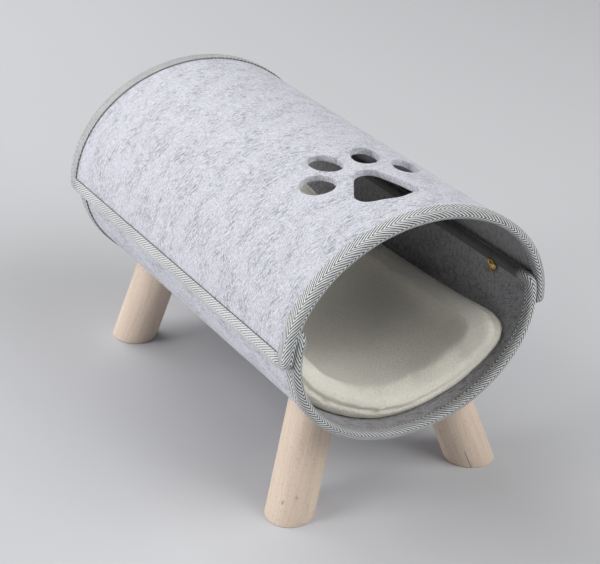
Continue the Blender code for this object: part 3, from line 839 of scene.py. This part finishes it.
def seam_height(point):
    """How far the side seam wanders from the middle of the pad's thickness."""
    wander = noise.noise(Vector((point.x * 28, point.y * 28, 0.4)))
    return SEAM_WANDER * wander + SEAM_PUCKER * noise.noise(point * 90)


def cushion(material):
    """The pad: filled, smoothed, its side seam pressed in, then laid in the cradle."""
    bm = swell_cushion(flat_cushion())
    pad = scratch_object(bm, "fine_pad")
    finer = pad.modifiers.new("finer", "SUBSURF")
    finer.levels = 1
    finer.render_levels = 1
    bm = applied(pad)
    bpy.data.objects.remove(pad)
    bmesh.ops.smooth_vert(bm, verts=bm.verts, factor=0.5, use_axis_x=True, use_axis_y=True, use_axis_z=True)
    bm.normal_update()
    for vert in bm.verts:
        upright = 1 - abs(vert.normal.z)
        off = abs(vert.co.z - SEAM_DROP - seam_height(vert.co))
        wave = noise.noise(Vector((vert.co.x * 17, vert.co.y * 17, 1.3)))
        vert.co.z += TOP_WAVE * wave * (1 - upright)
        if off < SEAM_REACH and upright > 0.35:
            vert.co -= vert.normal * SEAM_DEPTH * (1 - (off / SEAM_REACH) ** 2) ** 2
    seat = -(FELT + CUSHION_CLEAR) - CUSHION_RIM / 2
    for vert in bm.verts:
        z = min(vert.co.z, CUSHION_RIM / 2)
        vert.co = (vert.co.x, vert.co.y + CUSHION_MIDDLE, z + seat)
    lay(bm, CRADLE_CURVE)
    return dress(bm, "fleece_pad", material, ["cushion"], 180.0)


# Legs and snaps

def under_cradle(foot, axis):
    """How far along a leg's line the cradle's underside lies."""
    low, high = LEG_LENGTHS
    for _ in range(40):
        middle = (low + high) / 2
        if beyond_cradle(foot + axis * middle):
            high = middle
        else:
            low = middle
    return low


def beyond_cradle(point):
    """Whether a point is above the cradle's underside with the gap added."""
    turn = radians(PITCH_DEGREES)
    up = (point.z - AXIS_HEIGHT) * cos(turn) + point.y * sin(turn)
    along = point.y * cos(turn) - (point.z - AXIS_HEIGHT) * sin(turn)
    level_y = (along + FRONT_LEAN * 0.5 * up) / (1 + FRONT_LEAN * up / TUNNEL_LENGTH)
    swell = 1 + 2 * FLARE * level_y / TUNNEL_LENGTH
    x, z = point.x / swell, up / swell
    return (x / (CRADLE_HALF_WIDTH + GAP)) ** 2 + (z / (CRADLE_DEPTH + GAP)) ** 2 < 1


def leg(name, number, material):
    """One round leg, splayed outwards, flat on the floor, its top shaped to the cradle."""
    sizes = dict(zip(LEG_COLUMNS, LEGS[name]))
    axis = Vector((-sizes["side"] * sizes["splay_x"], sizes["splay_y"], 1.0)).normalized()
    foot = Vector((sizes["side"] * sizes["foot_x"], sizes["foot_y"], 0.0))
    turn = Vector((0, 0, 1)).rotation_difference(axis).to_matrix().to_4x4()
    bm = bmesh.new()
    bmesh.ops.create_cone(bm, cap_ends=True, cap_tris=True, segments=LEG_SIDES, radius1=LEG_RADIUS,
                          radius2=LEG_RADIUS, depth=1.0, matrix=Matrix.Translation((0, 0, 0.5)))
    bmesh.ops.transform(bm, matrix=Matrix.Translation(foot) @ turn, verts=bm.verts)
    for vert in bm.verts:
        local = vert.co - foot
        high = local.dot(axis) > 0.5
        ring = local - axis * local.dot(axis)
        start = foot + ring
        if high:
            vert.co = start + axis * (under_cradle(start, axis) - LEG_TOP_CLEAR)
        else:
            vert.co = start - axis * (start.z / axis.z)
    bm.normal_update()
    foot_rim = [edge for edge in bm.edges if all(abs(vert.co.z) < 1e-6 for vert in edge.verts)
                and len({face.normal.z < -0.9 for face in edge.link_faces}) == 2]
    bmesh.ops.bevel(bm, geom=foot_rim, offset=FOOT_ROUND, segments=3, profile=0.5, affect="EDGES",
                    material=-1)
    sides = []
    for edge in bm.edges:
        way = (edge.verts[0].co - edge.verts[1].co).normalized()
        if abs(way.dot(axis)) > 0.9:
            sides.append(edge)
    bmesh.ops.subdivide_edges(bm, edges=sides, cuts=LEG_SCORES, use_grid_fill=True)
    across = axis.cross(Vector((0, 1, 0))).normalized()
    onwards = axis.cross(across)
    layer = bm.loops.layers.uv.new("cloth")
    bm.normal_update()
    for face in bm.faces:
        centre = face.calc_center_median() - foot
        face_turn = atan2(centre.dot(onwards), centre.dot(across))
        flat_end = abs(face.normal.dot(axis)) > 0.6
        for loop in face.loops:
            local = loop.vert.co - foot
            turn_here = atan2(local.dot(onwards), local.dot(across))
            while turn_here - face_turn > pi:
                turn_here -= 2 * pi
            while turn_here - face_turn < -pi:
                turn_here += 2 * pi
            if flat_end:
                loop[layer].uv = (number + local.dot(across), local.dot(onwards) * 0.2 + 0.3)
            else:
                loop[layer].uv = (number + turn_here * LEG_RADIUS, local.dot(axis))
    bmesh.ops.recalc_face_normals(bm, faces=bm.faces)
    return dress(bm, f"{name}_wood", material, [name], 40.0)


def snap(name, node, side_x, side_y, material):
    """A snap's domed cap: a rolled rim, a shallow ring and a dome, turned round its middle."""
    bm = bmesh.new()
    line = []
    for row in SNAP_PROFILE:
        spot = dict(zip(SNAP_COLUMNS, row))
        line.append(bm.verts.new((SNAP_RADIUS * spot["out"], 0.0, spot["up"])))
    edges = [bm.edges.new(pair) for pair in zip(line, line[1:])]
    bmesh.ops.spin(bm, geom=line + edges, cent=(0, 0, 0), axis=(0, 0, 1), angle=2 * pi, steps=SNAP_SIDES,
                   use_merge=True)
    bmesh.ops.remove_doubles(bm, verts=bm.verts, dist=1e-6)
    bmesh.ops.recalc_face_normals(bm, faces=bm.faces)
    across = side_x * (CRADLE_CURVE.quarter() + SNAP_ACROSS)
    along = side_y * SNAP_ALONG
    depth = -(FELT + SNAP_LIFT)
    middle = CRADLE_CURVE.place(Vector((across, along, depth)))
    inwards = (CRADLE_CURVE.place(Vector((across, along, depth - 0.01))) - middle).normalized()
    turn = Vector((0, 0, 1)).rotation_difference(inwards).to_matrix().to_4x4()
    bmesh.ops.transform(bm, matrix=Matrix.Translation(middle) @ turn, verts=bm.verts)
    return dress(bm, name, material, [node], 50.0)


# The object

fibres_across = felt_finish("heather_felt_roof", 0.0)
fibres_along = felt_finish("heather_felt_cradle", 78.0)
twill = twill_finish()
wood = wood_finish()
brass = brass_finish()

paw = [toe_cutter(**dict(zip(TOE_COLUMNS, toe))) for toe in TOES] + [palm_cutter()]
roof = felt_panel("roof_felt", "roof_panel", ROOF_CURVE, ROOF_HALF, paw, fibres_across, False)
roof_tape = binding("roof_twill", "roof_binding", ROOF_CURVE, ROOF_HALF, twill)
cradle = felt_panel("cradle_felt", "cradle_panel", CRADLE_CURVE, CRADLE_HALF, [], fibres_along, True)
cradle_tape = binding("cradle_twill", "cradle_binding", CRADLE_CURVE, CRADLE_HALF, twill)
pad = cushion(fleece_finish())

for number, name in enumerate(LEGS):
    leg(name, number, wood)
for side_y, end in ((-1, "front"), (1, "back")):
    for side_x, side in ((-1, "left"), (1, "right")):
        snap(f"cap_{end}_{side}", f"snap_{end}_{side}", side_x, side_y, brass)


# Floor, light and camera

def floor():
    """The plain floor."""
    bm = bmesh.new()
    bmesh.ops.create_grid(bm, x_segments=8, y_segments=8, size=FLOOR_HALF)
    mesh = bpy.data.meshes.new("floor")
    bm.to_mesh(mesh)
    bm.free()
    made = bpy.data.objects.new("floor", mesh)
    mesh.materials.append(plain_finish("floor_grey", FLOOR_COLOUR))
    bpy.context.scene.collection.objects.link(made)


def area_light(name, place, aim, size, power, colour):
    """A soft square light."""
    light = bpy.data.lights.new(name, "AREA")
    light.shape = "SQUARE"
    light.size = size
    light.energy = power
    light.color = colour
    made = bpy.data.objects.new(name, light)
    made.location = place
    made.rotation_euler = (Vector(aim) - Vector(place)).to_track_quat("-Z", "Y").to_euler()
    bpy.context.scene.collection.objects.link(made)


def camera():
    """The camera, from its place, its three turns and its focal length in pixels."""
    yaw, down, roll = radians(CAMERA_YAW), radians(CAMERA_DOWN), radians(CAMERA_ROLL)
    back = Vector((sin(yaw) * cos(down), -cos(yaw) * cos(down), sin(down)))
    right = Vector((cos(yaw), sin(yaw), 0.0))
    up = back.cross(right)
    rolled_right = cos(roll) * right + sin(roll) * up
    rolled_up = cos(roll) * up - sin(roll) * right
    made = bpy.data.objects.new("camera", bpy.data.cameras.new("camera"))
    made.data.sensor_width = SENSOR_WIDTH
    made.data.sensor_fit = "HORIZONTAL"
    made.data.lens = SENSOR_WIDTH * FOCAL_PIXELS / IMAGE_WIDTH
    turned = Matrix((rolled_right, rolled_up, back)).transposed().to_4x4()
    made.matrix_world = Matrix.Translation(CAMERA_PLACE) @ turned
    bpy.context.scene.collection.objects.link(made)
    bpy.context.scene.camera = made


def surroundings(colour, strength):
    """An even sky, shown with plain contrast."""
    bpy.context.scene.view_settings.view_transform = "Standard"
    world = bpy.context.scene.world or bpy.data.worlds.new("studio")
    bpy.context.scene.world = world
    world.use_nodes = True
    background = world.node_tree.nodes["Background"]
    background.inputs["Color"].default_value = (*colour, 1.0)
    background.inputs["Strength"].default_value = strength


floor()
for light in LIGHTS:
    area_light(**dict(zip(LIGHT_COLUMNS, light)))
surroundings(SKY_COLOUR, SKY_STRENGTH)
camera()
